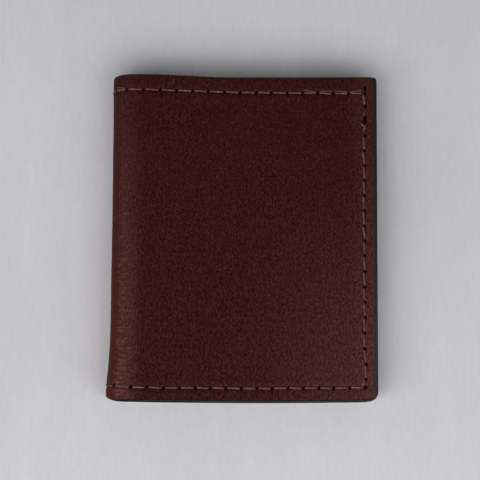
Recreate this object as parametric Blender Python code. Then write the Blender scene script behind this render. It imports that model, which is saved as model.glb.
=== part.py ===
"""Slim bifold wallet in stitched leather, closed and lying on its back cover.

Metres, +Z up. The spine runs along Y on the -X side and the free edge is on the +X side.
Z = 0 is the surface that the wallet lies on, and X = Y = 0 is the middle of its outline.
Cards stand upright (long side along Y) and slide in sideways, from the spine.
"""

import math

import bmesh
import bpy
from mathutils import Matrix, Vector

# Overall sizes
WIDTH = 0.0815  # spine to free edge, closed
HEIGHT = 0.100  # head edge to foot edge

# Sheet thicknesses
COVER = 0.0012  # outer leather
LINING = 0.0004  # woven lining
POCKET = 0.0008  # pocket leather
LAYER_GAP = 0.0003  # air between neighbouring sheets

# Outline
SPINE_RADIUS = 0.005  # outside radius of each of the two bends in the spine
FOLD_GAP = 0.0006  # clearance between the spine and each panel, which it turns past
CORNER_RADIUS = 0.002
EDGE_STEP = 0.00035  # each sheet further in reaches this much further at the free edge
NOTE_MOUTH = 0.009  # spine face to the mouth of the note pocket
MOUTH_STEP = 0.009  # each card pocket's mouth is set back this much further

# Seam: one line of stitches round the head, free edge and foot of both halves
THREAD = 0.0005
PITCH = 0.0048  # nominal stitch length
SEAM_MARGIN = 0.0042  # seam to head and foot edges
SEAM_INSET = 0.0029  # seam to the cover's free edge
THREAD_CLEARANCE = 0.0001
STITCH_DIP = 0.00015  # how far the thread dips where a stitch ends
DIP_SHARE = 0.22  # share of a stitch, at each of its ends, over which the thread dips
GROOVE_CLEARANCE = 0.0003  # each side of the thread
GROOVE_FLOOR_GAP = 0.00015  # under the thread where it dips

POCKET_NAMES = ("note_pocket", "card_pocket_outer", "card_pocket_inner")
ARC_STEPS = 8
CORNER_STEPS = 5
CUT_OVERSHOOT = 0.001
SHARP_ANGLE = math.radians(30)

COLOURS = {
    "cover_leather": ((0.055, 0.014, 0.010, 1), 0.48),
    "pocket_leather": ((0.060, 0.017, 0.012, 1), 0.52),
    "lining_cloth": ((0.012, 0.009, 0.009, 1), 0.85),
    "thread": ((0.20, 0.095, 0.065, 1), 0.65),
}

# Worked out from the values above
GROOVE_DEPTH = THREAD + STITCH_DIP + GROOVE_FLOOR_GAP
SHEETS = [COVER, LINING] + [POCKET] * len(POCKET_NAMES)  # from the outside in
HALF_STACK = sum(SHEETS) + LAYER_GAP * (len(SHEETS) - 1)
MIDDLE_GAP = 2 * (THREAD_CLEARANCE + THREAD + STITCH_DIP) + LAYER_GAP
THICKNESS = 2 * HALF_STACK + MIDDLE_GAP
SPINE_X = -WIDTH / 2
PANEL_X = SPINE_X + SPINE_RADIUS + FOLD_GAP
SPINE_LINING_DEPTH = COVER + LAYER_GAP
SPINE_INSIDE = SPINE_LINING_DEPTH + LINING
COVER_EDGE_X = WIDTH / 2 - EDGE_STEP * (len(SHEETS) - 1)
SEAM_X = COVER_EDGE_X - SEAM_INSET
SEAM_Y = HEIGHT / 2 - SEAM_MARGIN

# The inner thread climbs onto each pocket just short of the pocket's mouth
RISERS = [SPINE_X + NOTE_MOUTH + MOUTH_STEP * n - THREAD for n in range(len(POCKET_NAMES))]
CLEAR_OF_RISER = 2 * THREAD

# A bend turned flat about this point keeps the length of the leather's middle surface
BEND_RADIUS = SPINE_RADIUS - COVER / 2
FOLD_OFFSET = COVER / 2 + BEND_RADIUS * (1 - math.pi / 4)
SPINE_FOLD = Vector((SPINE_X + FOLD_OFFSET, 0, FOLD_OFFSET))
FRONT_FOLD = Vector((SPINE_X + FOLD_OFFSET, 0, THICKNESS - FOLD_OFFSET))


def clear_scene():
    for obj in list(bpy.data.objects):
        bpy.data.objects.remove(obj)


def make_material(name):
    colour, roughness = COLOURS[name]
    material = bpy.data.materials.new(name)
    material.use_nodes = True
    shader = material.node_tree.nodes["Principled BSDF"]
    shader.inputs["Base Color"].default_value = colour
    shader.inputs["Roughness"].default_value = roughness
    material.diffuse_color = colour
    return material


def make_axis(name, place, parent=None):
    """An empty on a fold's axis. What turns about that fold is parented to it."""
    axis = bpy.data.objects.new(name, None)
    bpy.context.scene.collection.objects.link(axis)
    axis.empty_display_size = HEIGHT / 2
    axis.parent = parent
    axis.location = place - (parent.location if parent else Vector())
    return axis


def add_object(name, data, material, axis=None):
    """Adds an object whose data is in world coordinates, with its origin on its fold's axis."""
    obj = bpy.data.objects.new(name, data)
    bpy.context.scene.collection.objects.link(obj)
    if material:
        data.materials.append(material)
    if axis:
        bpy.context.view_layer.update()
        data.transform(Matrix.Translation(-axis.matrix_world.translation))
        obj.parent = axis
    return obj


def prism(name, outline, low, high, along):
    """The mesh of an outline, drawn in the plane across one axis, extruded from low to high.

    along is "Z" for an outline of (x, y) points, or "Y" for one of (x, z) points.
    """
    shape = bmesh.new()
    if along == "Z":
        corners = [shape.verts.new((x, y, low)) for x, y in outline]
        step = Vector((0, 0, high - low))
    else:
        corners = [shape.verts.new((x, low, z)) for x, z in outline]
        step = Vector((0, high - low, 0))
    base = shape.faces.new(corners)
    made = bmesh.ops.extrude_face_region(shape, geom=[base], use_keep_orig=True)
    raised = [v for v in made["geom"] if isinstance(v, bmesh.types.BMVert)]
    bmesh.ops.translate(shape, verts=raised, vec=step)
    bmesh.ops.recalc_face_normals(shape, faces=shape.faces)
    mesh = bpy.data.meshes.new(name)
    shape.to_mesh(mesh)
    shape.free()
    mesh.set_sharp_from_angle(angle=SHARP_ANGLE)
    return mesh


def cut(obj, cutter_mesh):
    """Takes the cutter's shape out of obj. The cutter is left out of the model."""
    cutter = add_object(cutter_mesh.name, cutter_mesh, None, obj.parent)
    cutter.hide_render = True
    cutter.display_type = "WIRE"
    modifier = obj.modifiers.new("groove", "BOOLEAN")
    modifier.operation = "DIFFERENCE"
    modifier.solver = "EXACT"
    modifier.object = cutter


def panel_outline(left, right):
    """A sheet from left to right over the full height, with its two right corners rounded."""
    points = [(left, HEIGHT / 2), (left, -HEIGHT / 2)]
    for side in (-1, 1):
        centre = (right - CORNER_RADIUS, side * (HEIGHT / 2 - CORNER_RADIUS))
        for step in range(CORNER_STEPS + 1):
            turn = math.pi / 2 * (step / CORNER_STEPS - (side < 0))
            x = centre[0] + CORNER_RADIUS * math.cos(turn)
            points.append((x, centre[1] + CORNER_RADIUS * math.sin(turn)))
    return points


def groove_outline():
    """The U-shaped strip that the seam's thread runs in, open at the spine."""
    half = THREAD / 2 + GROOVE_CLEARANCE
    start = PANEL_X - CUT_OVERSHOOT
    outer = [(start, SEAM_Y + half), (SEAM_X + half, SEAM_Y + half)]
    inner = [(SEAM_X - half, SEAM_Y - half), (start, SEAM_Y - half)]
    return (
        outer
        + [(x, -y) for x, y in reversed(outer)]
        + [(x, -y) for x, y in reversed(inner)]
        + inner
    )


def spine_line(depth):
    """The (x, z) points of the spine's bends and flat, at a depth under its outer face."""
    radius = SPINE_RADIUS - depth
    points = []
    for centre_z, start in ((SPINE_RADIUS, -math.pi / 2), (THICKNESS - SPINE_RADIUS, -math.pi)):
        for step in range(ARC_STEPS + 1):
            turn = start - math.pi / 2 * step / ARC_STEPS
            x = SPINE_X + SPINE_RADIUS + radius * math.cos(turn)
            points.append((x, centre_z + radius * math.sin(turn)))
    return points


def spine_channel(name, outside, inside, low, high):
    """A C-shaped channel along Y, between two depths under the spine's outer face."""
    outline = spine_line(outside) + spine_line(inside)[::-1]
    return prism(name, outline, low, high, "Y")


def along_spine(depth, dip, stitches, seam_y):
    """The points of a thread over the spine: at depth, dipping by dip where stitches meet."""
    line = [Vector((x, 0, z)) for x, z in spine_line(depth)]
    lengths = [0]
    for start, end in zip(line, line[1:]):
        lengths.append(lengths[-1] + (end - start).length)
    dipped = spine_line(depth + dip)
    points = []
    for place, low, length in zip(line, dipped, lengths):
        phase = stitches * length / lengths[-1]
        share = max(0, 1 - abs(phase - round(phase)) / DIP_SHARE)
        mixed = place.lerp(Vector((low[0], 0, low[1])), share)
        points.append((mixed.x, seam_y, mixed.z))
    return points


def stitch_line(start, end):
    """The (x, y) places where stitches end, evenly spaced from start to end."""
    length = math.dist(start, end)
    count = max(1, round(length / PITCH))
    step = ((end[0] - start[0]) / count, (end[1] - start[1]) / count)
    return [(start[0] + step[0] * k, start[1] + step[1] * k) for k in range(count + 1)]


def seam_places():
    """(x, y, dips) of each end and shoulder of the stitches, from the head of the spine to its foot."""
    start_x = PANEL_X + THREAD
    shoulder = DIP_SHARE * PITCH
    corners = [(start_x, SEAM_Y), (SEAM_X, SEAM_Y), (SEAM_X, -SEAM_Y), (start_x, -SEAM_Y)]
    places = []
    for begin, finish in zip(corners, corners[1:]):
        ends = stitch_line(begin, finish)
        step = (Vector(finish) - Vector(begin)).normalized() * shoulder
        for place, following in zip(ends, ends[1:]):
            places.append((*place, True))
            places.append((place[0] + step.x, place[1] + step.y, False))
            places.append((following[0] - step.x, following[1] - step.y, False))
    return places + [(*corners[-1], True)]


def exposed_depth(x):
    """How deep the innermost sheet's face lies at x: the pockets step down to the spine."""
    return SPINE_INSIDE + (LAYER_GAP + POCKET) * sum(x > riser for riser in RISERS)


def make_thread(name, points, material, axis):
    """A thread of one length along these points, as a tube with four sides and closed ends."""
    curve = bpy.data.curves.new(name, "CURVE")
    curve.dimensions = "3D"
    curve.bevel_depth = THREAD / 2
    curve.bevel_resolution = 0
    curve.use_fill_caps = True
    spline = curve.splines.new("POLY")
    spline.points.add(len(points) - 1)
    for target, place in zip(spline.points, points):
        target.co = (*place, 1)
    return add_object(name, curve, material, axis)


class Half:
    """The back half, or the front half, which is its mirror image above the middle."""

    def __init__(self, name, upper, axis, materials):
        self.name = name
        self.upper = upper
        self.axis = axis
        self.materials = materials

    def level(self, depth):
        """The height of what is this deep under the half's outer face."""
        return THICKNESS - depth if self.upper else depth

    def sheet(self, part, left, right, depth, thickness, material):
        ends = sorted((self.level(depth), self.level(depth + thickness)))
        name = f"{self.name}_{part}"
        mesh = prism(name, panel_outline(left, right), *ends, "Z")
        return add_object(name, mesh, self.materials[material], self.axis)

    def groove(self, cover):
        ends = sorted((self.level(-CUT_OVERSHOOT), self.level(GROOVE_DEPTH)))
        cut(cover, prism(f"{self.name}_groove_cutter", groove_outline(), *ends, "Z"))

    def outer_thread(self):
        points = []
        for x, y, dips in seam_places():
            depth = THREAD / 2 + THREAD_CLEARANCE / 2 + STITCH_DIP * dips
            points.append((x, y, self.level(depth)))
        material = self.materials["thread"]
        make_thread(f"{self.name}_outer_thread", points, material, self.axis)

    def inner_thread(self):
        points = []
        before = None
        for x, y, dips in seam_places():
            if min(abs(x - riser) for riser in RISERS) < CLEAR_OF_RISER:
                continue
            lift = THREAD_CLEARANCE + THREAD / 2 + STITCH_DIP * (not dips)
            exposed = exposed_depth(x)
            for riser in RISERS:
                if before and (before[0] - riser) * (x - riser) < 0:
                    for depth in (before[1], exposed):
                        points.append((riser, y, self.level(depth + lift)))
            points.append((x, y, self.level(exposed + lift)))
            before = (x, exposed)
        material = self.materials["thread"]
        make_thread(f"{self.name}_inner_thread", points, material, self.axis)

    def build(self):
        cover = self.sheet("cover", PANEL_X, COVER_EDGE_X, 0, COVER, "cover_leather")
        self.groove(cover)
        depth = SPINE_LINING_DEPTH
        right = COVER_EDGE_X + EDGE_STEP
        self.sheet("lining", PANEL_X, right, depth, LINING, "lining_cloth")
        for number, pocket in enumerate(POCKET_NAMES):
            depth = SPINE_INSIDE + LAYER_GAP + (LAYER_GAP + POCKET) * number
            left = SPINE_X + NOTE_MOUTH + MOUTH_STEP * number
            right += EDGE_STEP
            self.sheet(pocket, left, right, depth, POCKET, "pocket_leather")
        self.outer_thread()
        self.inner_thread()


def build_spine(axis, materials):
    """The strip between the two folds: cover and lining, and the two seams that cross it."""
    ends = (-HEIGHT / 2, HEIGHT / 2)
    mesh = spine_channel("spine_cover", 0, COVER, *ends)
    cover = add_object("spine_cover", mesh, materials["cover_leather"], axis)
    mesh = spine_channel("spine_lining", SPINE_LINING_DEPTH, SPINE_INSIDE, *ends)
    add_object("spine_lining", mesh, materials["lining_cloth"], axis)
    line = spine_line(0)
    length = sum(math.dist(start, end) for start, end in zip(line, line[1:]))
    stitches = round(length / PITCH)
    half = THREAD / 2 + GROOVE_CLEARANCE
    outer_depth = THREAD / 2 + THREAD_CLEARANCE / 2
    inner_depth = SPINE_INSIDE + THREAD_CLEARANCE + THREAD / 2 + STITCH_DIP
    for place, seam_y in (("head", SEAM_Y), ("foot", -SEAM_Y)):
        name = f"spine_{place}_groove_cutter"
        outline = groove_ring()
        cut(cover, prism(name, outline, seam_y - half, seam_y + half, "Y"))
        points = along_spine(outer_depth, STITCH_DIP, stitches, seam_y)
        make_thread(f"spine_{place}_outer_thread", points, materials["thread"], axis)
        points = along_spine(inner_depth, -STITCH_DIP, stitches, seam_y)
        make_thread(f"spine_{place}_inner_thread", points, materials["thread"], axis)


def groove_ring():
    """The C-shaped section of a groove cut round the spine, longer than the spine at both ends."""
    rings = []
    for depth in (-CUT_OVERSHOOT, GROOVE_DEPTH):
        line = spine_line(depth)
        beyond = SPINE_X + SPINE_RADIUS + CUT_OVERSHOOT
        rings.append([(beyond, line[0][1])] + line + [(beyond, line[-1][1])])
    return rings[0] + rings[1][::-1]


def main():
    clear_scene()
    materials = {name: make_material(name) for name in COLOURS}
    spine_axis = make_axis("spine_fold_axis", SPINE_FOLD)
    front_axis = make_axis("front_fold_axis", FRONT_FOLD, spine_axis)
    Half("back", False, None, materials).build()
    build_spine(spine_axis, materials)
    Half("front", True, front_axis, materials).build()


main()
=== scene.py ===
"""Looks of the slim bifold wallet: leather, lining, painted edges and stitches.

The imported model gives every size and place. Metres, with +X from the spine to the free edge, +Y
from foot to head and +Z up. A place on a sheet is (u, y, depth): u runs along the sheet from the
middle of the spine to the free edge, and depth is how far it lies under the wallet's outer face.
Each folded sheet is made in two halves, back and front, that meet in the middle of the spine.
"""

import math

import bpy
import numpy as np
from mathutils import Matrix, Vector


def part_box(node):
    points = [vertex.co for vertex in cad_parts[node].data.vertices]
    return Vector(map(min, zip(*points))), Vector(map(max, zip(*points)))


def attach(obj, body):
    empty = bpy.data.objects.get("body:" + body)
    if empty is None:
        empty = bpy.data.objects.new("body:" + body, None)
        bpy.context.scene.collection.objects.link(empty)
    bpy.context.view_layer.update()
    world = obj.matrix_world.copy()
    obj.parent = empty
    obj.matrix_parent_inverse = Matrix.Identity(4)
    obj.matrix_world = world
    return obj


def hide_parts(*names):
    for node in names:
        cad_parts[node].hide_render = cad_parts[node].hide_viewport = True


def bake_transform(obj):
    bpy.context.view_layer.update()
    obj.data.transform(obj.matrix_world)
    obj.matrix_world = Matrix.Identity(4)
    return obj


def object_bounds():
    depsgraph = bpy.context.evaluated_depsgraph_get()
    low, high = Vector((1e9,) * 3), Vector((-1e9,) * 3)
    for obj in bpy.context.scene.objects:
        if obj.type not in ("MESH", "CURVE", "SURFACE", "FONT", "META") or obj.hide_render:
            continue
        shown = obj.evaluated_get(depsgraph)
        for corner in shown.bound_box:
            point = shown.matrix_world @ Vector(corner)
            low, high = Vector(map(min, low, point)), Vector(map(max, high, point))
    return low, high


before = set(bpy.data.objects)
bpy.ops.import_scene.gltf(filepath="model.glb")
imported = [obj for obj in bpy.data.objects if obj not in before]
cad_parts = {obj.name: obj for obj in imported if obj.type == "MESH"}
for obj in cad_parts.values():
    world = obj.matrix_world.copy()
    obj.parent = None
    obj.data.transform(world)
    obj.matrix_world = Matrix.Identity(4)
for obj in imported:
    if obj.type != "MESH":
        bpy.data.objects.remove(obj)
CAD_BOX = [list(corner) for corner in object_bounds()]
MM = 0.001

# Sizes that the frame gives
SPINE_LOW, SPINE_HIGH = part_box("spine_cover")
SPINE_X = SPINE_LOW.x
BEND = SPINE_HIGH.x - SPINE_LOW.x  # outside radius of the two bends
THICKNESS = SPINE_HIGH.z
MIDDLE = THICKNESS / 2
HALF_HEIGHT = SPINE_HIGH.y
FREE_X = CAD_BOX[1][0]
FLAT = MIDDLE - BEND  # half of the spine's flat
ARC = BEND * math.pi / 2  # length of a bend
PANEL_X = SPINE_X + BEND  # where the bends end
PANEL_U = FLAT + ARC  # the same, along a sheet
THREAD_LOW, THREAD_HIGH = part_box("front_outer_thread")
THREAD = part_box("spine_head_outer_thread")[1].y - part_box("spine_head_outer_thread")[0].y
SEAM_X = THREAD_HIGH.x - THREAD / 2
SEAM_Y = THREAD_HIGH.y - THREAD / 2

# Camera
CAMERA_DISTANCE = 0.504
CAMERA_TILT = math.radians(8.68)  # from straight above, towards the foot
CAMERA_ROLL = math.radians(0.16)
CAMERA_LENS = 120.7  # in millimetres, as the sensor's width is
CAMERA_SENSOR = 36
CAMERA_AIM = Vector((-1.26 * MM, 0.50 * MM, 0))

# Light: name, place, two sides and watts of each soft box, and the world's strength
SOFT_BOXES = (
    ("left box", (-0.52, -0.38, 0.72), (0.5, 0.7), 4.5),
    ("right box", (0.55, -0.40, 0.62), (0.5, 0.7), 2.6),
    ("foot box", (0.0, -0.60, 0.62), (0.6, 0.45), 2.5),
)
WORLD_AT_HORIZON = 0.56
WORLD_OVERHEAD = 0.08
FLOOR_REACH = 6.0

# How the hand-cut wallet isn't square
FOOT_BOW = 0.45 * MM  # how far the middle of the foot edge bows out
HEAD_BOW = 0.20 * MM  # how far the middle of the head edge draws in
FLARE_AT_FOOT = 0.95 * MM  # how far the spine bulges out close to the foot
FLARE_BELOW_MIDDLE = 0.25 * MM
FLARE_AT_HEAD = 0.25 * MM
FOLD_REACH = 0.85 * MM  # how much further up the head edge reaches beside the spine
SPINE_TUCK = 1.3 * MM  # how far the foot edge draws in at the very spine
COVER_LEAN = (0.40 * MM, 0.43 * MM, 0.60 * MM)  # how far out the free edge is: foot, middle, head
LAST_LEAN = (0.15 * MM, 0.37 * MM, 0.62 * MM)  # the same for the innermost sheet

# Sheets
POCKETS = ("note_pocket", "card_pocket_outer", "card_pocket_inner")
INNER_PARTS = ("lining", *POCKETS)
CORNERS = (2.6 * MM, 1.1 * MM)  # radius at the foot and at the head
EDGE_ROUND = 0.30 * MM  # how far in from the outline a cover's rounding starts
LINING_ROUND = 0.12 * MM
POCKET_ROUND = 0.20 * MM
EDGE_SQUARENESS = 0.7  # 1 is a half circle, less is squarer
EDGE_RINGS = 8
PAINTED_STRIP = 1.6 * MM  # how far the edge paint reaches over the steps along the free edge
FAR_IN = 99.0  # an overhang attribute that is never painted, in millimetres
LAYER_GAP = 0.30 * MM  # between two sheets, away from the seam
MEETING = 0.49 * LAYER_GAP  # how much a sheet swells towards its neighbour at a sewn edge
CLOSING = 6 * MM  # how far from a sewn edge the sheets start to close up
CREASE_INSET = 2.2 * MM  # from a pocket's mouth to the line creased along it

# Steps between a sheet's points, along u and along y
COVER_GRIDS = {"front": (0.38 * MM, 0.60 * MM), "back": (0.45 * MM, 0.75 * MM)}
LINING_GRID = (0.8 * MM, 1.2 * MM)
POCKET_GRID = (0.5 * MM, 0.8 * MM)
GRID_AT_HOLE = 0.20 * MM
HOLE_REACH = 0.60 * MM
COARSE = 9  # steps of the detailed face to one step of the plain face
BEND_SHARE = 7  # one column in so many, from the spine on, is in the bend or on the spine

# Seeds of the uneven patterns
SEAM_SEEDS = {"back": 5, "front": 8}
COVER_SEEDS = {"back": 40, "front": 20}
PAINT_SEED = 71
LINING_SEED = 61
POCKET_SEEDS = {"back": 81, "front": 84}
GRAIN_SEED_STEP = 3  # from a sheet's seed to its grain's

# Stitches
STITCHES_ACROSS = 15  # along the head and along the foot of each panel
STITCHES_DOWN = 19  # along the free edge
PITCH = 4.7 * MM  # along the free edge
FIRST_DOWN = 3.8 * MM  # from the head corner's hole to the next one down
STITCH_STEPS = 26  # points along a stitch
STITCH_SIDES = 12  # points round it
PLUNGE = 0.45 * MM  # length over which a stitch comes up out of its hole
SET_BACK = 0.48 * MM  # from the middle of a hole to the start of a stitch
SLANT = 0.07 * MM  # how far each end of a stitch is off the seam line, along the head and the foot
EDGE_SLANT = 0.18 * MM  # the same along the free edge, the other way
LIFT = 0.06 * MM  # how far the middle line of a stitch stands above its trough
EDGE_LIFT = 0.11 * MM  # the same along the free edge
INNER_LIFT = 0.05 * MM
DOUBLED_LIFT = 0.14 * MM
SINK = 0.80 * MM  # how deep the ends of a stitch go
INNER_SINK = 0.60 * MM
GIRTH = 0.54 * THREAD  # radius of a stitch
EDGE_GIRTH = 1.08  # share of GIRTH along the free edge
DOUBLED_GIRTH = 0.62
LAST_TURN = (-0.66 * MM, 0.44 * MM)  # from the foot's corner hole to the end of the last stitch before it
SEAM_DROP = 0.30 * MM  # how far both rows across lie towards the foot from where the CAD has them
HEAD_SLOPE = 0.011  # how steeply the row along the head sinks towards the free edge
DRIFT = 0.07 * MM  # how far a hole strays
TROUGH = 0.14 * MM  # how deep the seam line is pressed into the leather
TROUGH_WIDTH = 0.75 * MM
PUNCH_DEPTH = 0.60 * MM
INNER_PUNCH_DEPTH = 0.50 * MM
AWL = (0.74 * MM, 0.46 * MM, math.radians(45))  # half an awl hole's length and width, and its lean
EDGE_AWL = (0.62 * MM, 0.35 * MM, math.radians(112))  # the same along the free edge
STRANDS = 3
STRAND_DEPTH = 0.17  # how deep the grooves between the strands are, as a share of the radius
TWIST = 2.0 * MM  # length of one full turn of the thread


def smooth(value, low, high):
    """0 below low, 1 above high, and an even rise between."""
    t = np.clip((value - low) / (high - low), 0, 1)
    return t * t * (3 - 2 * t)


def bump(value, width):
    """1 where value is 0, fading on both sides over about width."""
    return np.exp(-((value / width) ** 2))


def ripple(x, y, seed):
    """Smooth heights of about -1 to 1 with a bump to each unit of x and y, the same each run."""
    size = 256  # the pattern repeats after so many units
    angles = np.random.default_rng(seed).random((size, size)) * 2 * math.pi
    column, row = np.floor(x).astype(int), np.floor(y).astype(int)
    fx, fy = x - column, y - row
    sx, sy = smooth(fx, 0, 1), smooth(fy, 0, 1)
    corners = []
    for right in (0, 1):
        for up in (0, 1):
            angle = angles[(column + right) % size, (row + up) % size]
            corners.append(np.cos(angle) * (fx - right) + np.sin(angle) * (fy - up))
    left = corners[0] * (1 - sy) + corners[1] * sy
    right = corners[2] * (1 - sy) + corners[3] * sy
    return 1.5 * (left * (1 - sx) + right * sx)  # brought up to about -1 to 1


def grain(u, y, seed):
    """The leather's pebbles, about 0 to 1. They are longer along the spine, and lean here and there."""
    x = u + 3 * MM * ripple(u / (19 * MM), y / (19 * MM), seed + 1)
    v = y + 3 * MM * ripple(u / (17 * MM), y / (17 * MM), seed + 2)
    coarse = ripple(x / (1.3 * MM), v / (2.2 * MM), seed)
    finer = ripple(x / (0.70 * MM), v / (1.2 * MM), seed + 3)
    return 0.5 + 0.12 * coarse + 0.50 * finer


# Places on the sheets


def u_at(x):
    """How far along the sheets a place on a flat panel is."""
    return x - PANEL_X + PANEL_U


def x_at(u):
    """The inverse of u_at. In the bends and on the spine it's what x would be on a flat sheet."""
    return u + PANEL_X - PANEL_U


def quarter_round(across, width):
    """0 at the spine's face, rising like a quarter circle to 1 at width."""
    return np.sqrt(1 - (1 - np.clip(across / width, 0, 1)) ** 2)


def settle(points):
    """The small ways in which the hand-cut wallet isn't square: a bowed foot and a flared spine."""
    x, y = points[:, 0], points[:, 1]
    across = np.clip((x - SPINE_X) / (FREE_X - SPINE_X), 0, 1)
    foot = np.clip(-y / HALF_HEIGHT, 0, 1) ** 2
    head = np.clip(y / HALF_HEIGHT, 0, 1) ** 2
    moved = points.copy()
    moved[:, 1] -= 4 * across * (1 - across) * (FOOT_BOW * foot + HEAD_BOW * head)
    near_spine = 1 - smooth(across, 0, 0.35)
    flare = FLARE_AT_FOOT * bump(y + HALF_HEIGHT, 15 * MM) ** 1.6
    flare += FLARE_BELOW_MIDDLE * foot
    flare += FLARE_AT_HEAD * bump(y - HALF_HEIGHT, 12 * MM)
    moved[:, 0] -= near_spine * flare
    beside_spine = quarter_round(across, 0.11) * (1 - smooth(across, 0.14, 0.45))
    moved[:, 1] += FOLD_REACH * beside_spine * head**4
    outermost = 1 - quarter_round(across, 0.055)
    moved[:, 1] += SPINE_TUCK * outermost * foot**4
    return moved


def place(u, y, depth, upper):
    """Points in the frame for arrays of places on a half of the wallet."""
    u, y, depth = np.broadcast_arrays(u, y, depth)
    turn = np.clip((u - FLAT) / BEND, 0, math.pi / 2)
    radius = BEND - depth
    x = PANEL_X - radius * np.cos(turn) + np.maximum(u - PANEL_U, 0)
    rise = np.minimum(u, FLAT) + radius * np.sin(turn)
    z = MIDDLE + rise if upper else MIDDLE - rise
    return settle(np.stack([x, y, z], axis=-1).reshape(-1, 3))


def stops(low, high, step, marks):
    """Places from low to high, at most step apart, and closer together near each mark."""
    fine = GRID_AT_HOLE
    steps = round(HOLE_REACH / fine)
    wanted = [mark + fine * k for mark in marks for k in range(-steps, steps + 1)]
    kept = [low]
    for spot in sorted(wanted):
        if kept[-1] + 0.6 * fine < spot < high - 0.6 * fine:  # none too close together
            kept.append(spot)
    kept.append(high)
    result = [low]
    for before, after in zip(kept, kept[1:]):
        count = max(1, math.ceil((after - before) / step - 0.01))
        result += [before + (after - before) * k / count for k in range(1, count + 1)]
    return np.array(result)


def round_corners(u, y, right, top, inset):
    """Pulls a square grid's two right-hand corners in to quarter circles."""
    radius = np.where(y < 0, CORNERS[0], CORNERS[1]) - inset
    p = np.clip((u - right + radius) / radius, 0, 1)
    q = np.clip((np.abs(y) - top + radius) / radius, 0, 1)
    inside = (p > 0) & (q > 0)
    reach = np.maximum(p, q)
    share = np.minimum(p, q) / np.where(reach > 0, reach, 1)
    angle = np.where(p >= q, share, 2 - share) * math.pi / 4
    new_u = right - radius + reach * np.cos(angle) * radius
    new_y = np.sign(y) * (top - radius + reach * np.sin(angle) * radius)
    return np.where(inside, new_u, u), np.where(inside, new_y, y)


# Sheets


def closeness(u, y, right):
    """1 at the three sewn edges, where the sheets are pressed together, and 0 further in."""
    inset = np.minimum(right - u, HALF_HEIGHT - np.abs(y))
    return 1 - smooth(inset, 0, CLOSING)


def meeting_swell(right):
    """The swell of a sheet's plain face, which closes the gap to its neighbour at the sewn edges."""

    def swell(u, y):
        return MEETING * closeness(u, y, right)

    return swell


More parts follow.
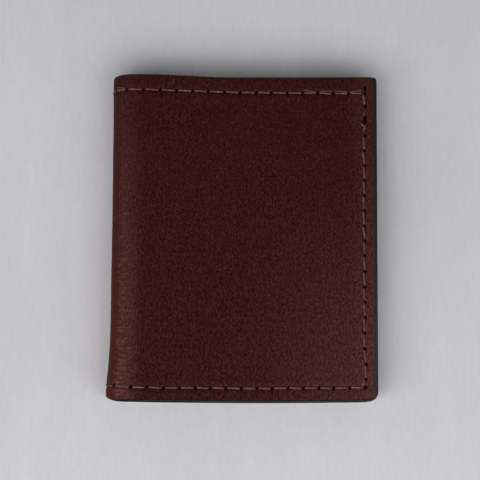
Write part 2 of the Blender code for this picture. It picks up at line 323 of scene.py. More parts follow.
class Sheet:
    """One sheet of one half: a detailed face, a rounded edge all round and a plain face.

    The detailed face is the outer one, or the inner one if faces_in. relief(u, y) gives the
    height of the detailed face. At the spine the edge is cut square, where the halves meet.
    grid is the step along u and along y, and marks are the places near which it is finer.
    lean is how far out the free edge is, and corner_lift how far its head corner moves up.
    """

    def __init__(self, name, upper, span, depth, thickness, relief, grid, marks, **options):
        self.upper = upper
        self.faces_in = options.get("faces_in", False)
        self.face_depth = depth + thickness if self.faces_in else depth
        self.thickness = thickness
        self.left, self.right = span
        self.meets = self.left == 0
        self.swell = meeting_swell(self.right)
        self.rounding = options.get("rounding", EDGE_ROUND)
        low = self.left if self.meets else self.left + self.rounding
        high, top = self.right - self.rounding, HALF_HEIGHT - self.rounding
        columns = stops(low, high, grid[0], [*marks[0], high] + ([] if self.meets else [low]))
        rows = stops(-top, top, grid[1], [*marks[1], -top, top])
        u, y = np.meshgrid(columns, rows, indexing="ij")
        u, y = round_corners(u, y, high, top, self.rounding)
        heights, faces = self.build(u, y, relief)
        self.make(name, heights, faces, options["lean"], options.get("corner_lift", 0.0))
        self.add_patterns()

    def outline(self, u, y):
        """The grid spots of the rim, in order, and the way out from each."""
        n, m = u.shape
        loop = [(i, 0) for i in range(n)] + [(n - 1, j) for j in range(1, m)]
        loop += [(i, m - 1) for i in range(n - 2, -1, -1)] + [(0, j) for j in range(m - 2, 0, -1)]
        loop_i, loop_j = np.array(loop).T
        loop_u, loop_y = u[loop_i, loop_j], y[loop_i, loop_j]
        along_u = np.roll(loop_u, -1) - np.roll(loop_u, 1)
        along_y = np.roll(loop_y, -1) - np.roll(loop_y, 1)
        if self.meets:  # the cut at the spine stays flat
            at_cut = loop_i == 0
            along_y[at_cut] = 0
            along_u[at_cut & (loop_j > 0) & (loop_j < m - 1)] = 0
        length = np.maximum(np.hypot(along_u, along_y), 1e-12)
        return loop, along_y / length, -along_u / length

    def build(self, u, y, relief):
        """Sets u, y and inset of every point, and returns their heights and the faces."""
        n, m = u.shape
        loop, out_u, out_y = self.outline(u, y)
        rim = tuple(np.array(loop).T)
        face_height = relief(u.ravel(), y.ravel())
        edge_height = face_height.reshape(n, m)[rim]
        plain_height = -self.thickness - self.swell(u[rim], y[rim])
        us, ys, heights = [u.ravel()], [y.ravel()], [face_height]
        insets = [self.distance_in(us[0], ys[0])]
        for ring in range(1, EDGE_RINGS + 1):
            turn = math.pi * ring / EDGE_RINGS
            out = self.rounding * math.sin(turn) ** EDGE_SQUARENESS
            level = math.copysign(abs(math.cos(turn)) ** EDGE_SQUARENESS, math.cos(turn))
            share = (1 + level) / 2
            us.append(u[rim] + out_u * out)
            ys.append(y[rim] + out_y * out)
            heights.append(edge_height * share + plain_height * (1 - share))
            inset = self.rounding - out if turn < math.pi / 2 else 0.0
            insets.append(np.full(len(loop), inset))
        count, size = n * m, len(loop)
        first_plain = count + size * EDGE_RINGS
        rings = [np.array([i * m + j for i, j in loop])]
        rings += [count + size * k + np.arange(size) for k in range(EDGE_RINGS)]
        faces = self.grid_faces(n, m)
        for before, after in zip(rings, rings[1:]):
            band = [before, after, np.roll(after, -1), np.roll(before, -1)]
            faces += np.stack(band, 1).tolist()
        plain, spots = self.plain_faces(n, m, dict(zip(loop, rings[-1].tolist())), first_plain)
        plain_u = np.array([u[spot] for spot in spots])
        plain_y = np.array([y[spot] for spot in spots])
        heights.append(-self.thickness - self.swell(plain_u, plain_y))
        self.u = np.concatenate([*us, plain_u])
        self.y = np.concatenate([*ys, plain_y])
        self.inset = np.concatenate([*insets, np.zeros(len(spots))])
        order = np.arange(len(self.u))
        self.off_face = order >= count
        self.on_plain = order >= first_plain - size
        return np.concatenate(heights), faces + plain

    def make(self, name, heights, faces, lean, corner_lift):
        """The mesh and its object, leaned out along the free edge."""
        up = self.y / HALF_HEIGHT
        foot, middle, head = lean
        slant = middle + up * (head - foot) / 2 + up**2 * ((head + foot) / 2 - middle)
        near_edge = smooth(self.u, self.right - 8 * MM, self.right)
        leaning = self.u + slant * near_edge
        lifted = self.y + corner_lift * near_edge * smooth(self.y, HALF_HEIGHT - 6 * MM, HALF_HEIGHT)
        depth = self.face_depth + heights if self.faces_in else self.face_depth - heights
        points = place(leaning, lifted, depth, self.upper)
        self.mesh = bpy.data.meshes.new(name)
        self.mesh.from_pydata(points.tolist(), [], faces)
        if self.upper == self.faces_in:
            self.mesh.flip_normals()
        self.mesh.shade_smooth()
        self.mesh.set_sharp_from_angle(angle=math.radians(70))
        self.object = bpy.data.objects.new(name, self.mesh)
        bpy.context.scene.collection.objects.link(self.object)
        across = self.u if self.upper else -self.u  # the two halves' patterns run on into each other
        self.attribute("sheet_place", np.stack([across, lifted, np.zeros_like(across)], 1) / MM)

    def add_patterns(self):
        """Where the edge paint lies, and how far in from the free edge the plain face is."""
        self.attribute("paint", np.where(self.on_plain & (self.inset == 0), 0, self.paint()))
        from_edge = (self.right - self.u) / MM
        self.attribute("overhang", np.where(self.on_plain, from_edge, FAR_IN))

    @staticmethod
    def grid_faces(n, m):
        corner = (np.arange(n - 1)[:, None] * m + np.arange(m - 1)[None, :]).ravel()
        return np.stack([corner, corner + m, corner + m + 1, corner + 1], 1).tolist()

    def plain_faces(self, n, m, where, first):
        """The plain face: coarse, but with every point of the rim, and fine across the bends."""
        past_bend = n // BEND_SHARE
        bend_columns = range(0, past_bend, 2) if self.meets else ()
        columns = sorted({0, n - 1, *bend_columns, *range(past_bend, n - 1, COARSE)})
        rows = sorted({0, m - 1, *range(COARSE, m - COARSE, COARSE)})
        extra = []
        for i in columns[1:-1]:
            for j in rows[1:-1]:
                where[(i, j)] = first + len(extra)
                extra.append((i, j))
        faces = []
        for a, b in zip(columns, columns[1:]):
            for c, d in zip(rows, rows[1:]):
                bottom = range(a, b) if c == 0 else [a]
                right = range(c, d) if b == n - 1 else [c]
                top = range(b, a, -1) if d == m - 1 else [b]
                left = range(d, c, -1) if a == 0 else [d]
                spots = [(i, c) for i in bottom] + [(b, j) for j in right]
                spots += [(i, d) for i in top] + [(a, j) for j in left]
                faces.append([where[s] for s in reversed(spots)])
        return faces, extra

    def distance_in(self, u, y):
        """How far in from the outline places on the face are, 0 on the edge."""
        inset = np.minimum(self.right - u, HALF_HEIGHT - np.abs(y))
        if not self.meets:
            inset = np.minimum(inset, u - self.left)
        return np.maximum(inset, 0)

    def paint(self):
        """1 where the black edge paint lies: on the edge and just over its rim."""
        wander = ripple(self.u / (3 * MM), self.y / (3 * MM), PAINT_SEED) * 0.06 * MM
        at_ends = smooth(np.abs(self.y), HALF_HEIGHT - 1 * MM, HALF_HEIGHT - 0.6 * MM)
        at_fold = np.where(self.y > 0, bump(self.u - PANEL_U + 1.5 * MM, 3 * MM), 0)
        reach = at_ends * MM * (0.12 + 0.28 * at_fold)
        return 1 - smooth(self.inset + wander - reach, 0.08 * MM, 0.28 * MM)

    def attribute(self, name, values):
        kind = "FLOAT_VECTOR" if values.ndim == 2 else "FLOAT"
        made = self.mesh.attributes.new(name, kind, "POINT")
        field = "vector" if values.ndim == 2 else "value"
        made.data.foreach_set(field, values.astype(np.float32).ravel())

    def face_attribute(self, name, values, elsewhere=0):
        """values on the detailed face, and one value on the edge and the plain face."""
        self.attribute(name, np.where(self.off_face, elsewhere, values))


# Seams


def edge_seam_x(y):
    """Where the seam runs down the free edge: it leans, and steps out a little close to the foot."""
    up = y / HALF_HEIGHT
    return SEAM_X + 0.15 * MM + 0.35 * MM * up + 0.35 * MM * smooth(-up, 0.68, 0.80)


def head_seam_y(x):
    """Where the seam runs along the head: it sinks towards the free edge."""
    return SEAM_Y - SEAM_DROP - HEAD_SLOPE * np.maximum(x - PANEL_X, 0)


def seam_holes(seed):
    """(u, y) of each awl hole of one half, from the head of the spine to its foot."""
    t = np.linspace(0, 1, STITCHES_ACROSS + 1)
    head_start, head_end = PANEL_X - 0.4 * MM, SEAM_X + 0.5 * MM
    head_x = head_start + (head_end - head_start) * (t + 0.04 * t * (1 - t))
    head_y = SEAM_Y - SEAM_DROP - HEAD_SLOPE * (head_x - PANEL_X)
    foot_start = PANEL_X + 2.5 * MM
    foot_x = foot_start + (SEAM_X - foot_start) * t
    foot_y = np.full_like(t, -SEAM_Y - SEAM_DROP)
    down_y = head_y[-1] - FIRST_DOWN - PITCH * np.arange(STITCHES_DOWN)
    bend_head, bend_foot = u_at(head_x[0]), 6.4 * MM  # the spine's share, two stitches to each half
    holes = [(bend_head * k / 2, head_y[0]) for k in range(2)]
    holes += list(zip(u_at(head_x), head_y)) + list(zip(u_at(edge_seam_x(down_y)), down_y))
    holes += list(zip(u_at(foot_x[::-1]), foot_y))
    holes += [(bend_foot * k / 2, foot_y[0] + 0.2 * MM) for k in (2, 1, 0)]
    drift = np.random.default_rng(seed).normal(0, DRIFT, (len(holes), 2))
    drift[[0, -1]] = 0
    return [tuple(map(float, hole)) for hole in np.array(holes) + drift]


HOLES = {half: seam_holes(seed) for half, seed in SEAM_SEEDS.items()}
HEAD_CORNER = 2 + STITCHES_ACROSS  # index of the hole at the head of the free edge
CORNER_U, CORNER_Y = HOLES["front"][HEAD_CORNER]
# The awl slipped here: a second hole past the corner, and a gash below it
SLIPS = [(CORNER_U + 0.05 * MM, CORNER_Y + MM * up) for up in (1.8, 1.0, -7.3, -8.2, -9.2)]
PUNCHES = {"back": HOLES["back"], "front": HOLES["front"] + SLIPS}


def seam_distance(u, y):
    """Signed distance from the U-shaped seam line, negative inside it."""
    x = x_at(u)
    dx = x - edge_seam_x(y)
    dy = np.where(y > 0, y - head_seam_y(x), -y - SEAM_Y - SEAM_DROP)
    return np.hypot(np.maximum(dx, 0), np.maximum(dy, 0)) + np.minimum(np.maximum(dx, dy), 0)


def on_free_edge(u):
    """Whether a hole this far along is in the row down the free edge or in its corners."""
    return x_at(u) > SEAM_X - PITCH / 2


def at_foot_seam(y):
    """Whether a hole at y is in the row along the foot."""
    return y <= PITCH / 4 - SEAM_Y


def hole_shape(u, y, holes):
    """1 in the middle of each awl hole, 0 away from them."""
    total = np.zeros_like(u)
    for hole_u, hole_y in holes:
        down_edge = on_free_edge(hole_u) and not at_foot_seam(hole_y)
        length, width, lean = EDGE_AWL if down_edge else AWL
        du, dy = u - hole_u, y - hole_y
        near = (np.abs(du) < 3 * length) & (np.abs(dy) < 3 * length)
        a = du[near] * math.cos(lean) + dy[near] * math.sin(lean)
        b = du[near] * math.sin(lean) - dy[near] * math.cos(lean)
        total[near] = np.maximum(total[near], np.exp(-((a / length) ** 2) - (b / width) ** 2))
    return total


def slit_ends(start, end):
    """Where the stitch from one slanted awl hole to the next comes up and goes down again."""
    along = np.subtract(end, start)
    along = along / np.hypot(*along)
    side = np.array([along[1], -along[0]])
    if along[0] + along[1] > 0:
        side = -side
    if abs(along[1]) > abs(along[0]):
        slant = EDGE_SLANT
    else:
        slant = math.copysign(SLANT, along[0])
    back = along * SET_BACK + side * slant
    return start + back, end - back


def cover_relief(half, seed):
    """The height of a cover's outer face: crown, seam trough, awl holes, creases and grain."""

    def relief(u, y):
        x = x_at(u)
        seam = seam_distance(u, y)
        height = 0.30 * MM * smooth(-seam, 0.5 * MM, 14 * MM) * smooth(u, 4 * MM, 22 * MM)  # crown
        height += 0.05 * MM * bump(seam + 1.9 * MM, 1.1 * MM)  # pushed up beside the trough
        height -= (TROUGH + 0.04 * MM) * bump(seam, TROUGH_WIDTH)
        height -= PUNCH_DEPTH * hole_shape(u, y, PUNCHES[half])
        rim = np.minimum(u_at(FREE_X) - u, HALF_HEIGHT - np.abs(y))
        height -= np.where(y > 0, 0.10 * MM, 0.03 * MM) * bump(rim, 1.1 * MM)  # worn down at the rim
        uneven = 0.10 * MM * ripple(x / (23 * MM), y / (31 * MM), seed)
        uneven += 0.035 * MM * ripple(x / (7 * MM), y / (9 * MM), seed + 1)
        near_fold = bump(x - PANEL_X + 1 * MM, 5 * MM)
        crease = np.abs(ripple((x + 0.4 * y) / (3.2 * MM), (y - 0.3 * x) / (1.0 * MM), seed + 2))
        uneven -= 0.05 * MM * near_fold * (1 - smooth(crease, 0, 0.35))
        uneven += 0.045 * MM * grain(u, y, seed + GRAIN_SEED_STEP)
        return height + uneven * smooth(u, 0, 1.2 * MM)

    return relief


# Materials


class Nodes:
    """A small helper that adds nodes to a material and joins them."""

    def __init__(self, name):
        self.material = bpy.data.materials.new(name)
        self.material.use_nodes = True
        self.tree = self.material.node_tree
        self.shader = self.tree.nodes["Principled BSDF"]

    def add(self, kind, inputs=None, **settings):
        node = self.tree.nodes.new(kind)
        for key, value in settings.items():
            setattr(node, key, value)
        for key, value in (inputs or {}).items():
            if isinstance(value, bpy.types.NodeSocket):
                self.tree.links.new(value, node.inputs[key])
            else:
                node.inputs[key].default_value = value
        return node

    def math(self, operation, a, b=0.0):
        return self.add("ShaderNodeMath", {0: a, 1: b}, operation=operation).outputs[0]

    def plus(self, a, b):
        return self.math("ADD", a, b)

    def minus(self, a, b):
        return self.math("SUBTRACT", a, b)

    def times(self, a, b):
        return self.math("MULTIPLY", a, b)

    def mix(self, share, a, b):
        node = self.add("ShaderNodeMix", {0: share, 6: a, 7: b}, data_type="RGBA")
        return node.outputs[2]

    def ramp(self, value, low, high):
        """value taken from low..high to 0..1, smoothly."""
        node = self.add(
            "ShaderNodeMapRange",
            {"Value": value, "From Min": low, "From Max": high},
            interpolation_type="SMOOTHSTEP",
        )
        return node.outputs["Result"]

    def attribute(self, name, output="Fac"):
        node = self.add("ShaderNodeAttribute", attribute_name=name)
        return node.outputs[output]

    def scaled(self, vector, x, y, z=1.0):
        node = self.add("ShaderNodeMapping", {"Vector": vector, "Scale": (x, y, z)})
        return node.outputs[0]

    def noise(self, vector, scale, detail=2.0, rough=0.5):
        inputs = {"Vector": vector, "Scale": scale, "Detail": detail, "Roughness": rough}
        return self.add("ShaderNodeTexNoise", inputs).outputs["Fac"]

    def lines(self, noise, width):
        """1 along the lines where the noise is 0.5, and 0 where it is width away from that."""
        away = self.math("ABSOLUTE", self.minus(noise, 0.5))
        return self.minus(1.0, self.ramp(away, 0.0, width))

    def waves(self, vector, direction, scale, distortion, detail, detail_scale):
        inputs = {"Vector": vector, "Scale": scale, "Distortion": distortion}
        inputs.update({"Detail": detail, "Detail Scale": detail_scale})
        settings = {"wave_type": "BANDS", "bands_direction": direction}
        return self.add("ShaderNodeTexWave", inputs, **settings).outputs["Fac"]

    def up(self, vector):
        return self.add("ShaderNodeSeparateXYZ", {"Vector": vector}).outputs["Y"]

    def bump(self, height, strength, distance):
        inputs = {"Height": height, "Strength": strength, "Distance": distance}
        return self.add("ShaderNodeBump", inputs).outputs[0]

    def set(self, **inputs):
        for key, value in inputs.items():
            socket = self.shader.inputs[key.replace("_", " ")]
            if isinstance(value, bpy.types.NodeSocket):
                self.tree.links.new(value, socket)
            else:
                socket.default_value = value


def painted(n):
    """1 where the sheet is painted: its edge, and the step beside the next sheet's edge."""
    overhang = n.math("LESS_THAN", n.attribute("overhang"), PAINTED_STRIP / MM)
    return n.math("MAXIMUM", n.attribute("paint"), overhang)


def shaded_edge_paint(n, up):
    """Black, greyed a little towards the foot by a painted reflection, as seen down the free edge, and
    made darkest along the foot by painted shade. up is y in millimetres.
    """
    # Painted reflection, greying the paint towards the foot
    down_edge = n.mix(n.ramp(up, -35.0, 35.0), (0.0330, 0.0360, 0.0410, 1), (0.0200, 0.0205, 0.0220, 1))
    # Painted shade along the foot
    foot_shade = n.ramp(n.times(up, -1.0), HALF_HEIGHT / MM - 1.0, HALF_HEIGHT / MM - 0.5)
    return n.mix(foot_shade, down_edge, (0.0030, 0.0030, 0.0032, 1))


def leather(name, base, dark, light, worn, rubbed_and_highlit, painted_sheen_colour, fine_grain=(2.5, 1.15), relief=1.0):
    """Pebbled leather. Patterns are in millimetres, and are longer along the spine than across.

    It reads the sheet's attributes: pebble is the modelled grain, wear is how far it is rubbed redder
    with a painted highlight, haze how much painted sheen dulls it, and hole and paint are 1 in the awl
    holes (painted shade) and on the edge.
    """
    n = Nodes(name)
    spot = n.attribute("sheet_place", "Vector")
    up = n.up(spot)
    wander = n.add("ShaderNodeTexNoise", {"Vector": spot, "Scale": 0.07, "Detail": 1.0}).outputs["Color"]
    shift = n.add("ShaderNodeVectorMath", {0: wander, 1: (5.0, 5.0, 0)}, operation="MULTIPLY").outputs[0]
    warped = n.add("ShaderNodeVectorMath", {0: spot, 1: shift}, operation="ADD").outputs[0]
    speck = n.noise(n.scaled(warped, *fine_grain), 1.0)
    finer = n.noise(n.scaled(warped, *fine_grain), 1.9)
    veins = n.lines(n.noise(n.scaled(warped, 0.65, 0.28), 1.0), 0.05)
    hairlines = n.lines(n.noise(n.scaled(warped, 1.05, 0.50), 1.0, 1.0), 0.038)
    wrinkles = n.waves(warped, "X", 0.21, 9.0, 2.0, 1.2)
    patches = n.noise(spot, 0.045, 3.0, 0.55)
    hole = n.ramp(n.attribute("hole"), 0.22, 0.60)

    # The grain, from dark to light, which is calmer in patches and towards the head
    tone = n.plus(n.times(speck, 0.66), n.times(n.attribute("pebble"), 0.12))
    tone = n.plus(tone, n.times(wrinkles, 0.06))
    colour = n.mix(n.ramp(tone, 0.325, 0.620), dark, light)
    calm = n.plus(n.times(n.ramp(up, -30.0, 50.0), 0.35), n.times(n.ramp(patches, 0.35, 0.65), 0.20))
    colour = n.mix(calm, colour, base)
    colour = n.mix(n.times(veins, 0.18), colour, worn)
    colour = n.mix(n.times(hairlines, n.ramp(speck, 0.36, 0.56)), colour, light)

    # Wear with a painted highlight, and painted sheen with ridges of painted highlight in it
    wear_and_highlight = n.attribute("wear_and_highlight")
    colour = n.mix(n.times(wear_and_highlight, 0.50), colour, rubbed_and_highlit)
    ridges = n.ramp(n.noise(n.scaled(spot, 0.42, 1.15), 1.0), 0.46, 0.62)
    ridged = n.times(wear_and_highlight, n.minus(n.times(ridges, 1.7), 0.85))
    painted_sheen = n.times(n.attribute("painted_sheen"), n.plus(1.4, ridged))
    painted_sheen = n.times(painted_sheen, n.plus(0.45, n.ramp(tone, 0.30, 0.58)))
    colour = n.mix(painted_sheen, colour, painted_sheen_colour)

    # Painted shade in the awl holes
    colour = n.mix(hole, colour, (0.0022, 0.0014, 0.0012, 1))
    # Edge paint, with its painted reflection and painted shade
    colour = n.mix(n.ramp(painted(n), 0.35, 0.65), colour, shaded_edge_paint(n, up))
    height = n.plus(n.times(speck, 1.3), n.times(finer, 0.5))
    height = n.plus(height, n.times(veins, 0.15))
    rough = n.minus(0.58, n.times(speck, 0.18))
    rough = n.plus(rough, n.times(n.minus(patches, 0.5), 0.15))
    rough = n.plus(rough, n.times(hole, 0.3))
    normal = n.bump(height, relief, 0.12 * MM)
    n.set(Base_Color=colour, Roughness=rough, Specular_IOR_Level=0.06, Normal=normal)
    return n.material


def thread_material():
    """Waxed thread: dark between its fibres, worn paler here and there, and darkened by painted shade
    where it goes into the holes.
    """
    n = Nodes("thread")
    spot = n.attribute("thread_place", "Vector")
    fibres = n.noise(n.scaled(spot, 1.1, 4.0, 4.0), 2.0, 3.0, 0.6)
    worn = n.ramp(n.noise(spot, 0.8, 2.0), 0.45, 0.7)
    colour = n.mix(n.ramp(fibres, 0.36, 0.62), (0.030, 0.011, 0.007, 1), (0.150, 0.069, 0.048, 1))
    colour = n.mix(n.times(worn, 0.5), colour, (0.245, 0.122, 0.088, 1))
    # Painted shade where the thread goes down into its holes
    colour = n.mix(n.attribute("sunk_shade"), colour, (0.006, 0.004, 0.003, 1))
    normal = n.bump(fibres, 0.5, 0.05 * MM)
    n.set(Base_Color=colour, Roughness=0.62, Specular_IOR_Level=0.25, Normal=normal)
    return n.material


def lining_material():
    """Fine twill: diagonal ribs over crossing yarns. Its edges are painted with the leather's."""
    n = Nodes("lining_cloth")
    spot = n.attribute("sheet_place", "Vector")
    twill = n.waves(spot, "DIAGONAL", 0.55, 0.6, 1.0, 2.0)
    yarn = n.noise(n.scaled(spot, 5.0, 1.2), 2.0)
    height = n.plus(twill, n.times(yarn, 0.6))
    colour = n.mix(n.ramp(height, 0.2, 1.3), (0.006, 0.0045, 0.0045, 1), (0.020, 0.015, 0.014, 1))
    colour = n.mix(painted(n), colour, shaded_edge_paint(n, n.up(spot)))
    n.set(Base_Color=colour, Roughness=0.82, Specular_IOR_Level=0.12, Sheen_Weight=0.02)
    n.set(Normal=n.bump(height, 0.6, 0.08 * MM))
    return n.material


def floor_material():
    """Plain pale cloth, with soft patches, painted highlights along faint rucks, and fibres. Its patterns
    are in metres.
    """
    n = Nodes("floor_cloth")
    spot = n.add("ShaderNodeTexCoord").outputs["Object"]
    soft = n.ramp(n.noise(spot, 9.0), 0.3, 0.7)
    ruck_highlights = n.ramp(n.noise(n.scaled(spot, 70.0, 14.0), 1.0, 3.0, 0.6), 0.42, 0.72)
    fibres = n.ramp(n.noise(n.scaled(spot, 800.0, 240.0), 1.0, 3.0, 0.6), 0.35, 0.65)
    colour = n.mix(soft, (0.568, 0.556, 0.573, 1), (0.606, 0.593, 0.610, 1))
    # Painted highlights along faint rucks
    colour = n.mix(n.times(ruck_highlights, 0.22), colour, (0.70, 0.687, 0.705, 1))
    colour = n.mix(n.times(fibres, 0.10), colour, (0.40, 0.39, 0.41, 1))
    n.set(Base_Color=colour, Roughness=0.9, Specular_IOR_Level=0.2)
    return n.material


COVER_LEATHER = leather(
    "cover_leather",
    base=(0.0290, 0.0046, 0.0031, 1),
    dark=(0.0170, 0.0011, 0.0005, 1),
    light=(0.0590, 0.0142, 0.0102, 1),
    worn=(0.0750, 0.0220, 0.0165, 1),
    rubbed_and_highlit=(0.0650, 0.0118, 0.0078, 1),
    painted_sheen_colour=(0.1200, 0.0480, 0.0400, 1),
)
POCKET_LEATHER = leather(
    "pocket_leather",
    base=(0.0340, 0.0063, 0.0045, 1),
    dark=(0.0210, 0.0037, 0.0026, 1),
    light=(0.0500, 0.0098, 0.0070, 1),
    worn=(0.0700, 0.0210, 0.0160, 1),
    rubbed_and_highlit=(0.0500, 0.0098, 0.0070, 1),
    painted_sheen_colour=(0.1150, 0.0460, 0.0390, 1),
    fine_grain=(1.7, 1.2),
    relief=0.6,
)
LINING = lining_material()
THREAD_COLOUR = thread_material()


# Pieces


def layer(part):
    """Depth, thickness, and the span along X of a sheet of either half."""
    low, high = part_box(f"back_{part}")
    return low.z, high.z - low.z, low.x, high.x


def lean_of(part):
    """How far out an inner sheet's free edge is, between the cover's and the last sheet's."""
    share = (INNER_PARTS.index(part) + 1) / len(INNER_PARTS)
    return tuple(a + (b - a) * share for a, b in zip(COVER_LEAN, LAST_LEAN))


def bend_with(piece):
    """Bakes the piece's transform into its mesh."""
    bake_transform(piece)


def cover_wear_and_sheen(u, y, edge_u):
    """How far each place is rubbed redder with a painted highlight, and how much painted sheen it has:
    most beside the bend and towards the foot.
    """
    up = y / HALF_HEIGHT
    near_bend = 1 - smooth(u, 6 * MM, 15 * MM)
    past_bend = smooth(u, 5.0 * MM, 7.6 * MM)
    wear_and_highlight = near_bend * (0.70 - 0.42 * up) * (1.70 - 0.70 * past_bend)
    # Painted sheen towards the foot's free corner, and a painted highlight along the free edge
    foot_corner = 0.22 * smooth(u / edge_u, 0.45, 1.0) * smooth(-up, -0.6, 1.0)
    free_edge = 0.10 * smooth(u, edge_u - 8 * MM, edge_u - 2 * MM)
    painted_sheen = near_bend * (0.306 - 0.255 * up) * past_bend + foot_corner + free_edge
    return wear_and_highlight, painted_sheen


def cover(half):
    depth, thickness, _, right = layer("cover")
    edge_u = u_at(right)
    seed = COVER_SEEDS[half]
    sheet = Sheet(
        f"{half}_cover_leather",
        half == "front",
        (0, edge_u),
        depth,
        thickness,
        cover_relief(half, seed),
        grid=COVER_GRIDS[half],
        marks=list(zip(*HOLES[half])),
        lean=COVER_LEAN,
    )
    # Rubbing with a painted highlight, and painted sheen
    wear_and_highlight, painted_sheen = cover_wear_and_sheen(sheet.u, sheet.y, edge_u)
    sheet.face_attribute("hole", hole_shape(sheet.u, sheet.y, PUNCHES[half]))
    sheet.face_attribute("pebble", grain(sheet.u, sheet.y, seed + GRAIN_SEED_STEP), elsewhere=1)
    sheet.face_attribute("wear_and_highlight", wear_and_highlight)
    sheet.face_attribute("painted_sheen", painted_sheen)
    piece = sheet.object
    sheet.mesh.materials.append(COVER_LEATHER)
    bend_with(piece)
    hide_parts(f"{half}_cover", "spine_cover")


def stitch_rings(path, up, radius, phase):
    """The points of a twisted thread along path, as rings round it."""
    along = np.gradient(path, axis=0)
    along /= np.linalg.norm(along, axis=1)[:, None]
    side = np.cross(along, up)
    side /= np.linalg.norm(side, axis=1)[:, None]
    lift = np.cross(side, along)
    travelled = np.concatenate([[0], np.cumsum(np.linalg.norm(np.diff(path, axis=0), axis=1))])
    rings = []
    for centre, s, v, distance in zip(path, side, lift, travelled):
        angle = np.arange(STITCH_SIDES) * 2 * math.pi / STITCH_SIDES
        lobes = 1 + STRAND_DEPTH * np.cos(STRANDS * (angle - 2 * math.pi * distance / TWIST) + phase)
        reach = (radius * lobes)[:, None]
        rings.append(centre + reach * (np.cos(angle)[:, None] * s + np.sin(angle)[:, None] * v))
    return np.array(rings), travelled


class Stitches:
    """Stitches of one thread on one half, joined into one mesh."""

    def __init__(self, half, inner=False):
        self.upper = half == "front"
        self.facing = 1 if inner else -1
        self.face_depth = inner_face if inner else outer_face
        self.sink = INNER_SINK if inner else SINK
        self.points, self.faces, self.places, self.sunk_shade = [], [], [], []

    def add(self, start, end, lift=LIFT, girth=1.0):
        """A stitch between two (u, y) places. Its middle stands lift over the trough."""
        length = math.dist(start, end)
        t = np.linspace(0, 1, STITCH_STEPS)
        t = t - 0.7 * np.sin(2 * math.pi * t) / (2 * math.pi)  # closer together at the ends
        nearness = np.clip(np.minimum(t, 1 - t) * length / min(PLUNGE, 0.45 * length), 0, 1)
        arch = np.sqrt(1 - (1 - nearness) ** 2)
        u = start[0] + (end[0] - start[0]) * t
        y = start[1] + (end[1] - start[1]) * t
        height = -self.sink + (self.sink + lift) * arch
        depth = self.face_depth(u) + self.facing * height
        path = place(np.abs(u), y, depth, self.upper)
        outer = place(np.abs(u), y, depth + self.facing * MM, self.upper)
        up = outer - path
        up /= np.linalg.norm(up, axis=1)[:, None]
        # The last value is the share of painted shade, where the stitch sinks below the face
        self.tube(path, up, GIRTH * girth, smooth(-height, -0.02 * MM, 0.25 * MM))

    def tube(self, path, up, radius, sunk_shade):
        phase = 1.7 * len(self.points)  # so that no two stitches are turned alike
        rings, travelled = stitch_rings(path, up, radius, phase)
        first = sum(len(p) for p in self.points)
        count, sides = rings.shape[:2]
        index = first + np.arange(count * sides).reshape(count, sides)
        nxt = np.roll(index, -1, axis=1)
        quads = np.stack([index[:-1], nxt[:-1], nxt[1:], index[1:]], -1).reshape(-1, 4)
        self.faces += quads.tolist()
        self.faces += [index[0][::-1].tolist(), index[-1].tolist()]
        self.points.append(rings.reshape(-1, 3))
        self.sunk_shade.append(np.repeat(sunk_shade, sides))
        angle = np.arange(sides) * 2 * math.pi / sides
        around = np.stack([np.cos(angle), np.sin(angle)], 1) * radius
        spots = np.zeros((count, sides, 3))
        spots[:, :, 0] = travelled[:, None] + 7 * MM * len(self.points)  # each has its own fibres
        spots[:, :, 1:] = around[None]
        self.places.append(spots.reshape(-1, 3) / MM)

    def make(self, name):
        mesh = bpy.data.meshes.new(name)
        mesh.from_pydata(np.concatenate(self.points).tolist(), [], self.faces)
        mesh.shade_smooth()
        made = mesh.attributes.new("thread_place", "FLOAT_VECTOR", "POINT")
        made.data.foreach_set("vector", np.concatenate(self.places).astype(np.float32).ravel())
        made = mesh.attributes.new("sunk_shade", "FLOAT", "POINT")
        made.data.foreach_set("value", np.concatenate(self.sunk_shade).astype(np.float32))
        mesh.materials.append(THREAD_COLOUR)
        piece = bpy.data.objects.new(name, mesh)
        bpy.context.scene.collection.objects.link(piece)
        return piece


def outer_face(u):
    """Depth of the seam line's trough on the cover."""
    return np.full_like(u, TROUGH)


def outer_stitches(half):
    holes = HOLES[half]
    stitches = Stitches(half)
    for k, (start, end) in enumerate(zip(holes, holes[1:])):
        if half == "front" and k in (HEAD_CORNER + 1, HEAD_CORNER + 2):
            continue  # the knot is here
        first, last = slit_ends(start, end)
        if not on_free_edge(min(start[0], end[0])):
            stitches.add(first, last)
            continue
        if half == "front" and at_foot_seam(end[1]):
            last = end + np.array(LAST_TURN)
        stitches.add(first, last, EDGE_LIFT, EDGE_GIRTH)
    if half == "front":
        doubled_stitches(stitches)
        knot(stitches)
    piece = stitches.make(f"{half}_outer_stitches")
    bend_with(piece)
    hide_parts(f"{half}_outer_thread", "spine_head_outer_thread", "spine_foot_outer_thread")


def doubled_stitches(stitches):
    """The second stitches at both ends of the head seam. They lie over the first and cross them."""
    holes = HOLES["front"]
    for k in (1, HEAD_CORNER - 4, HEAD_CORNER - 3, HEAD_CORNER - 2, HEAD_CORNER - 1):
        start_up, end_up = (0.95, 0.35) if k % 2 else (0.50, 0.80)
        start = np.array(holes[k]) + (0.5 * MM, start_up * MM)
        end = np.array(holes[k + 1]) + (-0.4 * MM, end_up * MM)
        stitches.add(start, end, DOUBLED_LIFT, DOUBLED_GIRTH)


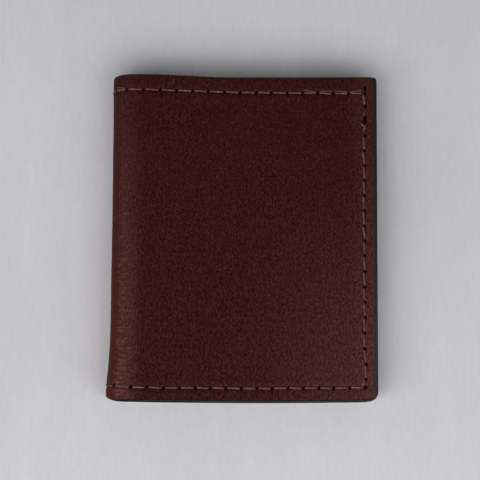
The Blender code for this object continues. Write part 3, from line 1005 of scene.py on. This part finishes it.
def knot(stitches):
    """The thread's end, a scrap in the gash below the head corner and two turns across each other."""
    turns = (
        ((-0.1, -6.1), (0.1, -7.1), LIFT),
        ((-1.0, -9.6), (0.6, -11.3), 0.16 * MM),
        ((0.5, -10.0), (-0.2, -12.0), 0.34 * MM),
    )
    corner = np.array([CORNER_U, CORNER_Y])
    for start, end, lift in turns:
        stitches.add(corner + MM * np.array(start), corner + MM * np.array(end), lift)


# Lining and pockets

MOUTHS = [u_at(layer(part)[2]) for part in POCKETS]
FACES = [depth + thickness for depth, thickness, _, _ in map(layer, ("lining", *POCKETS))]


def inner_face(u):
    """Depth of the inner seam line's trough, which steps from the lining up over each pocket."""
    depth = np.full_like(u, FACES[0])
    for mouth, before, after in zip(MOUTHS, FACES, FACES[1:]):
        depth += (after - before) * smooth(np.abs(u), mouth - 0.55 * MM, mouth - 0.05 * MM)
    return depth - TROUGH


def inner_relief(half, seed, right, next_mouth, crease_at=None):
    """The height of the inner face of the lining or a pocket. It closes up under the next sheet."""

    def relief(u, y):
        height = -TROUGH * bump(seam_distance(u, y), TROUGH_WIDTH)
        height -= INNER_PUNCH_DEPTH * hole_shape(u, y, HOLES[half])
        height += 0.05 * MM * ripple(u / (17 * MM), y / (23 * MM), seed) * smooth(u, 0, 6 * MM)
        if crease_at is not None:
            height -= 0.14 * MM * bump(u - crease_at, 0.30 * MM)
            height += 0.030 * MM * grain(u, y, seed + GRAIN_SEED_STEP)
        if next_mouth is None:
            return height
        covered = smooth(u, next_mouth, next_mouth + 3 * MM)
        return height * (1 - covered) + MEETING * closeness(u, y, right) * covered

    return relief


def lining(half):
    depth, thickness, _, right = layer("lining")
    edge_u = u_at(right)
    sheet = Sheet(
        f"{half}_lining_cloth",
        half == "front",
        (0, edge_u),
        depth,
        thickness,
        inner_relief(half, LINING_SEED, edge_u, MOUTHS[0]),
        grid=LINING_GRID,
        marks=([u for u, _ in HOLES[half] if u < MOUTHS[0]], [SEAM_Y, -SEAM_Y]),
        lean=lean_of("lining"),
        faces_in=True,
        rounding=LINING_ROUND,
        corner_lift=0.25 * MM,
    )
    piece = sheet.object
    sheet.mesh.materials.append(LINING)
    bend_with(piece)
    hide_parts(f"{half}_lining", "spine_lining")


def pocket(half, index):
    part = POCKETS[index]
    depth, thickness, left, right = layer(part)
    left, right = u_at(left), u_at(right)
    next_mouth = MOUTHS[index + 1] if index + 1 < len(MOUTHS) else None
    seen_to = next_mouth or right
    holes = [hole for hole in HOLES[half] if left - MM < hole[0] < seen_to + MM]
    seed = POCKET_SEEDS[half] + 7 * index
    crease_at = left + CREASE_INSET
    rows = [SEAM_Y, -SEAM_Y] if next_mouth else [y for _, y in holes]
    sheet = Sheet(
        f"{half}_{part}_leather",
        half == "front",
        (left, right),
        depth,
        thickness,
        inner_relief(half, seed, right, next_mouth, crease_at),
        grid=POCKET_GRID,
        marks=([crease_at, *(u for u, _ in holes)], rows),
        lean=lean_of(part),
        faces_in=True,
        rounding=POCKET_ROUND,
        corner_lift=(0.45 + 0.20 * index) * MM,
    )
    sheet.face_attribute("hole", hole_shape(sheet.u, sheet.y, holes))
    sheet.face_attribute("pebble", grain(sheet.u, sheet.y, seed + GRAIN_SEED_STEP), elsewhere=1)
    sheet.face_attribute("wear_and_highlight", 0.25 * bump(sheet.u - left, 2.5 * MM))
    # No painted sheen on the pockets
    sheet.attribute("painted_sheen", np.zeros_like(sheet.u))
    sheet.mesh.materials.append(POCKET_LEATHER)
    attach(sheet.object, half)
    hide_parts(f"{half}_{part}")


def inner_stitches(half):
    holes = HOLES[half]
    stitches = Stitches(half, inner=True)
    for start, end in zip(holes, holes[1:]):
        stitches.add(*slit_ends(start, end), INNER_LIFT)
    piece = stitches.make(f"{half}_inner_stitches")
    bend_with(piece)
    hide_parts(f"{half}_inner_thread", "spine_head_inner_thread", "spine_foot_inner_thread")


for half in ("back", "front"):
    cover(half)
    lining(half)
    for index in range(len(POCKETS)):
        pocket(half, index)
    outer_stitches(half)
    inner_stitches(half)


# Stage


def make_floor():
    far = FLOOR_REACH
    corners = [(-far, -far, 0), (far, -far, 0), (far, far, 0), (-far, far, 0)]
    mesh = bpy.data.meshes.new("floor")
    mesh.from_pydata(corners, [], [(0, 1, 2, 3)])
    mesh.materials.append(floor_material())
    floor = bpy.data.objects.new("floor", mesh)
    bpy.context.scene.collection.objects.link(floor)


def make_light(name, place_at, size, power):
    """A soft box aimed at the wallet. size is its two sides, and power is in watts."""
    data = bpy.data.lights.new(name, "AREA")
    data.shape = "RECTANGLE"
    data.size, data.size_y = size
    data.energy = power
    lamp = bpy.data.objects.new(name, data)
    bpy.context.scene.collection.objects.link(lamp)
    lamp.location = place_at
    lamp.rotation_mode = "QUATERNION"
    lamp.rotation_quaternion = (-Vector(place_at)).to_track_quat("-Z", "Y")


def make_camera():
    data = bpy.data.cameras.new("camera")
    data.lens = CAMERA_LENS
    data.sensor_width = CAMERA_SENSOR
    camera = bpy.data.objects.new("camera", data)
    bpy.context.scene.collection.objects.link(camera)
    away = Vector((0, -math.sin(CAMERA_TILT), math.cos(CAMERA_TILT)))
    turn = away.to_track_quat("Z", "Y").to_matrix().to_4x4()
    roll = Matrix.Rotation(CAMERA_ROLL, 4, "Z")
    camera.matrix_world = Matrix.Translation(CAMERA_AIM + away * CAMERA_DISTANCE) @ turn @ roll
    bpy.context.scene.camera = camera


def make_world():
    """Light that fades from the horizon up to straight above."""
    world = bpy.data.worlds.new("studio")
    world.use_nodes = True
    nodes, link = world.node_tree.nodes, world.node_tree.links.new
    sky = nodes["Background"]
    way = nodes.new("ShaderNodeTexCoord")
    split = nodes.new("ShaderNodeSeparateXYZ")
    fade = nodes.new("ShaderNodeMapRange")
    fade.inputs["To Min"].default_value = WORLD_AT_HORIZON
    fade.inputs["To Max"].default_value = WORLD_OVERHEAD
    link(way.outputs["Generated"], split.inputs[0])
    link(split.outputs["Z"], fade.inputs["Value"])
    link(fade.outputs["Result"], sky.inputs["Strength"])
    sky.inputs["Color"].default_value = (0.97, 0.98, 1.0, 1)
    bpy.context.scene.world = world


make_floor()
for soft_box in SOFT_BOXES:
    make_light(*soft_box)
make_camera()
make_world()
bpy.context.scene.view_settings.view_transform = "Standard"
